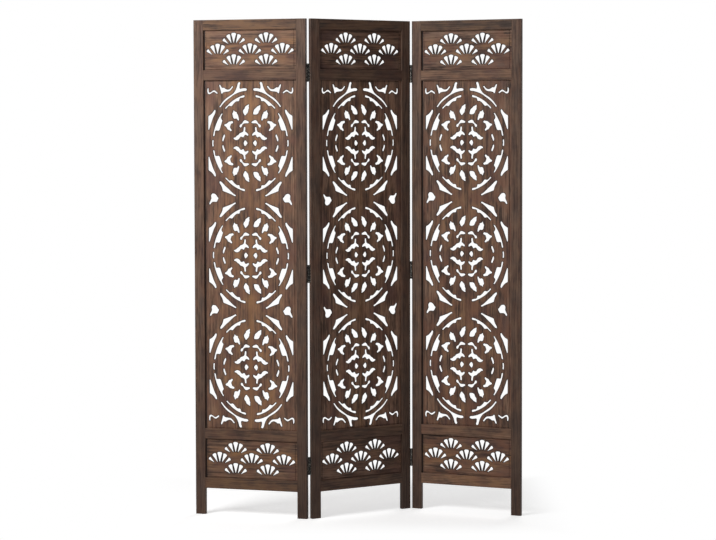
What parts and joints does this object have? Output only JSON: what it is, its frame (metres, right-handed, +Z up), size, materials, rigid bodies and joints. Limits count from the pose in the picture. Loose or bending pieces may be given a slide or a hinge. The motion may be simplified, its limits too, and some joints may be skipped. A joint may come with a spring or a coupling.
{
  "type": "carved folding screen",
  "caption": "Free-standing wooden folding screen whose hinged panels hold pierced boards carved with fans and round medallions.",
  "frame": {"origin": "on the floor, under the middle of the standing screen's bounding box", "axes": "+X to the right along the screen, +Y away from its front, +Z up"},
  "size_m": [1.1231, 0.2377, 1.7],
  "materials": {
    "frame_wood": "dark brown stained solid wood, grain along each piece, satin",
    "board_wood": "dark brown burnt and rubbed board, warmer among the cut-outs, satin",
    "hinge_metal": "blackened steel, worn at the knuckles"
  },
  "bodies": {
    "left_panel": {"left_panel_left_stile": "frame_wood", "left_panel_right_stile": "frame_wood", "left_panel_bottom_rail": "frame_wood", "left_panel_lower_rail": "frame_wood", "left_panel_upper_rail": "frame_wood", "left_panel_top_rail": "frame_wood", "left_panel_lower_fan_board": "board_wood", "left_panel_medallion_board": "board_wood", "left_panel_upper_fan_board": "board_wood", "left_fold_lower_hinge_left_leaf": "hinge_metal", "left_fold_middle_hinge_left_leaf": "hinge_metal", "left_fold_upper_hinge_left_leaf": "hinge_metal"},
    "middle_panel": {"middle_panel_left_stile": "frame_wood", "middle_panel_right_stile": "frame_wood", "middle_panel_bottom_rail": "frame_wood", "middle_panel_lower_rail": "frame_wood", "middle_panel_upper_rail": "frame_wood", "middle_panel_top_rail": "frame_wood", "middle_panel_lower_fan_board": "board_wood", "middle_panel_medallion_board": "board_wood", "middle_panel_upper_fan_board": "board_wood", "left_fold_lower_hinge_right_leaf": "hinge_metal", "left_fold_lower_hinge_pin": "hinge_metal", "left_fold_middle_hinge_right_leaf": "hinge_metal", "left_fold_middle_hinge_pin": "hinge_metal", "left_fold_upper_hinge_right_leaf": "hinge_metal", "left_fold_upper_hinge_pin": "hinge_metal", "right_fold_lower_hinge_left_leaf": "hinge_metal", "right_fold_middle_hinge_left_leaf": "hinge_metal", "right_fold_upper_hinge_left_leaf": "hinge_metal"},
    "right_panel": {"right_panel_left_stile": "frame_wood", "right_panel_right_stile": "frame_wood", "right_panel_bottom_rail": "frame_wood", "right_panel_lower_rail": "frame_wood", "right_panel_upper_rail": "frame_wood", "right_panel_top_rail": "frame_wood", "right_panel_lower_fan_board": "board_wood", "right_panel_medallion_board": "board_wood", "right_panel_upper_fan_board": "board_wood", "right_fold_lower_hinge_right_leaf": "hinge_metal", "right_fold_lower_hinge_pin": "hinge_metal", "right_fold_middle_hinge_right_leaf": "hinge_metal", "right_fold_middle_hinge_pin": "hinge_metal", "right_fold_upper_hinge_right_leaf": "hinge_metal", "right_fold_upper_hinge_pin": "hinge_metal"}
  },
  "joints": [
    {"name": "left_fold", "type": "hinge", "parent": "middle_panel", "child": "left_panel", "pos_m": [-0.16786, -0.10191, 0], "axis": [0, 0, 1], "range_deg": [-130.3, 49.7]},
    {"name": "right_fold", "type": "hinge", "parent": "middle_panel", "child": "right_panel", "pos_m": [0.18447, 0.10296, 0], "axis": [0, 0, 1], "range_deg": [-122.6, 57.4]}
  ]
}
